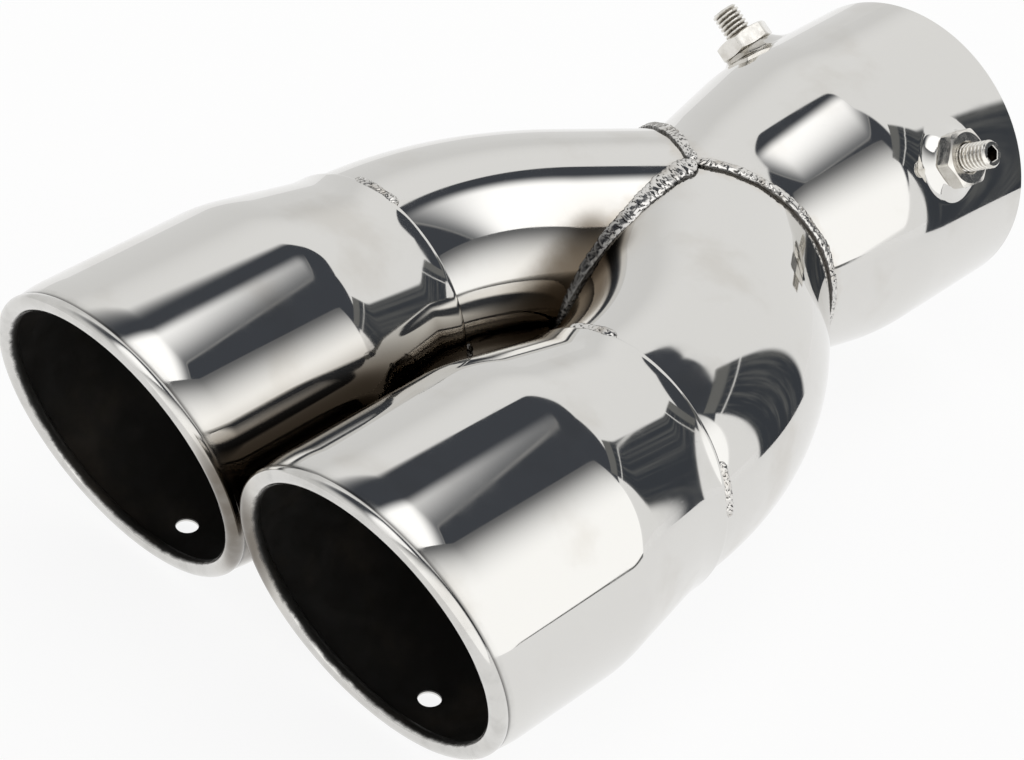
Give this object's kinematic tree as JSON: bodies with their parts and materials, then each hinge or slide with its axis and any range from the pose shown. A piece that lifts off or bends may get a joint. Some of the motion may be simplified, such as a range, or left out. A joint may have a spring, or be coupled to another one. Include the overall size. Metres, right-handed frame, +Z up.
{
  "type": "twin-outlet exhaust tip",
  "caption": "Polished exhaust tip: a clamp-on round inlet collar that divides into bent pipes, each ending in a slash-cut outlet with a rolled lip.",
  "frame": {"origin": "centre of the inlet bore at the collar's mouth", "axes": "+Y out of the inlet towards the car's pipe, +Z up, outlets face -Y, side by side along X"},
  "size_m": [0.1324, 0.2117, 0.0775],
  "materials": {
    "polished_steel": "mirror-polished stainless steel",
    "outlet_steel": "mirror-polished stainless steel, matt black inside",
    "weld_metal": "rippled weld bead, lightly heat tinted",
    "fastener_steel": "bright nickel-grey steel"
  },
  "bodies": {
    "weldment": {"inlet_collar": "polished_steel", "left_branch_pipe": "polished_steel", "right_branch_pipe": "polished_steel", "left_outlet_tip": "outlet_steel", "right_outlet_tip": "outlet_steel", "collar_weld_bead": "weld_metal", "crotch_weld_bead": "weld_metal", "left_tip_tack_welds": "weld_metal", "right_tip_tack_welds": "weld_metal"},
    "upper_right_screw": {"upper_right_clamp_screw": "fastener_steel"},
    "upper_left_screw": {"upper_left_clamp_screw": "fastener_steel"},
    "lower_screw": {"lower_clamp_screw": "fastener_steel"},
    "upper_right_nut": {"upper_right_lock_nut": "fastener_steel"},
    "upper_left_nut": {"upper_left_lock_nut": "fastener_steel"},
    "lower_nut": {"lower_lock_nut": "fastener_steel"}
  },
  "joints": [
    {"name": "upper_right_screw_travel", "type": "slide", "parent": "weldment", "child": "upper_right_screw", "axis": [-0.8192, 0, -0.5736], "range_m": [0, 0.0065]},
    {"name": "upper_left_screw_travel", "type": "slide", "parent": "weldment", "child": "upper_left_screw", "axis": [0.8192, 0, -0.5736], "range_m": [0, 0.0065]},
    {"name": "lower_screw_travel", "type": "slide", "parent": "weldment", "child": "lower_screw", "axis": [0, 0, 1], "range_m": [0, 0.0065]},
    {"name": "upper_right_nut_turn", "type": "hinge", "parent": "weldment", "child": "upper_right_nut", "pos_m": [0.02949, -0.0228, 0.02065], "axis": [0.8192, 0, 0.5736], "range_deg": [0, 180]},
    {"name": "upper_left_nut_turn", "type": "hinge", "parent": "weldment", "child": "upper_left_nut", "pos_m": [-0.02949, -0.0228, 0.02065], "axis": [-0.8192, 0, 0.5736], "range_deg": [0, 180]},
    {"name": "lower_nut_turn", "type": "hinge", "parent": "weldment", "child": "lower_nut", "pos_m": [0, -0.0228, -0.036], "axis": [0, 0, -1], "range_deg": [0, 180]}
  ]
}
